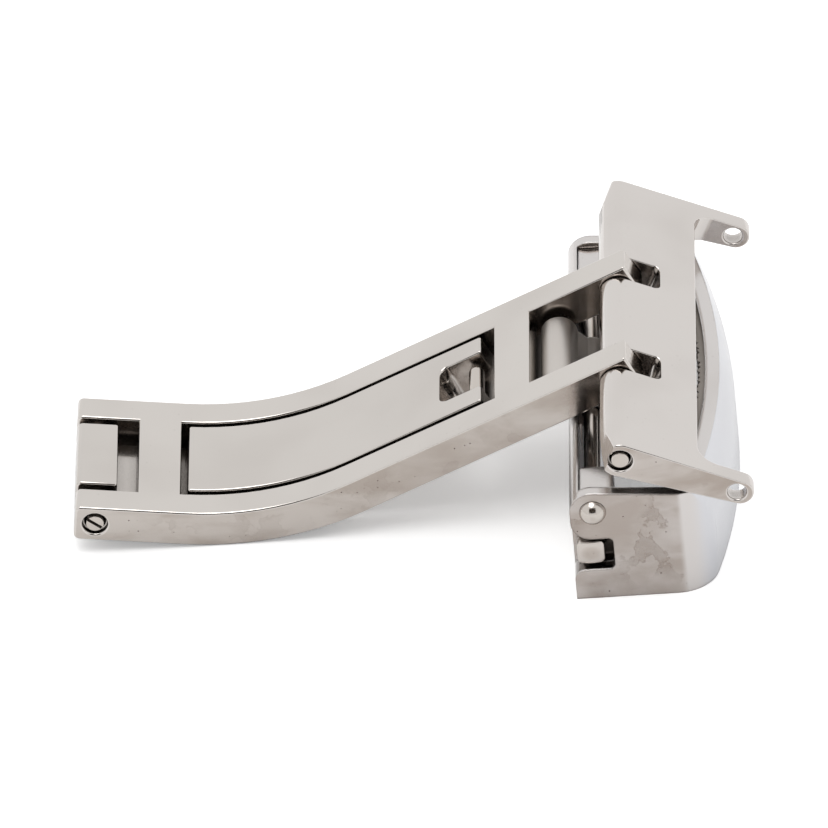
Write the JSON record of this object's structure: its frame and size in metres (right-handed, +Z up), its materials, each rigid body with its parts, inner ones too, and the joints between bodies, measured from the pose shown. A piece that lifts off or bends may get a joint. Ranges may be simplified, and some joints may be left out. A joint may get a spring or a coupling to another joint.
{
  "type": "single fold deployant clasp",
  "caption": "Folding watch strap clasp with two nested curved blades, a hinged strap plate with ears and a hinged domed strap cover with push buttons.",
  "frame": {"origin": "middle of the axis of the strap bar holes in the plate's ears", "axes": "+X along the blades, from the fold pin to the strap plate; +Y along the strap bar's axis; +Z up as the clasp stands on a table"},
  "size_m": [0.0334, 0.0222, 0.0098],
  "materials": {
    "blade_steel": "polished stainless steel, warm grey, smudged sides",
    "plate_steel": "polished stainless steel with fine wipe marks",
    "cover_steel": "polished stainless steel with stains and tiny pits",
    "pin_steel": "turned stainless steel",
    "grip_steel": "rough toothed steel strip",
    "spring_steel": "drawn spring wire"
  },
  "bodies": {
    "outer_blade": {"outer_blade": "blade_steel", "fold_pin": "pin_steel"},
    "inner_blade": {"inner_blade": "blade_steel", "catch_bar": "pin_steel"},
    "strap_plate": {"strap_plate": "plate_steel", "plate_pin": "pin_steel"},
    "cover": {"cover_shell": "cover_steel", "strap_grip": "grip_steel", "cover_axle": "pin_steel", "button_carrier_near": "cover_steel", "button_carrier_far": "cover_steel", "button_spring_near": "spring_steel", "button_spring_far": "spring_steel"},
    "button_near": {"push_button_near": "cover_steel", "button_clip_near": "pin_steel"},
    "button_far": {"push_button_far": "cover_steel", "button_clip_far": "pin_steel"}
  },
  "joints": [
    {"name": "fold_hinge", "type": "hinge", "parent": "outer_blade", "child": "inner_blade", "pos_m": [-0.03143, 0, -0.00431], "axis": [0, 1, 0], "range_deg": [0, 165]},
    {"name": "plate_hinge", "type": "hinge", "parent": "outer_blade", "child": "strap_plate", "pos_m": [-0.00547, 0, 0.00228], "axis": [0, 1, 0], "range_deg": [-75, 0]},
    {"name": "cover_hinge", "type": "hinge", "parent": "inner_blade", "child": "cover", "pos_m": [-0.00702, 0, -0.00092], "axis": [0, 1, 0], "range_deg": [0, 65]},
    {"name": "button_near_slide", "type": "slide", "parent": "cover", "child": "button_near", "axis": [0, 1, 0], "range_m": [0, 0.0004], "stiffness_N_per_m": 100, "springref_m": -0.0005},
    {"name": "button_far_slide", "type": "slide", "parent": "cover", "child": "button_far", "axis": [0, -1, 0], "range_m": [0, 0.0004], "stiffness_N_per_m": 100, "springref_m": -0.0005}
  ]
}
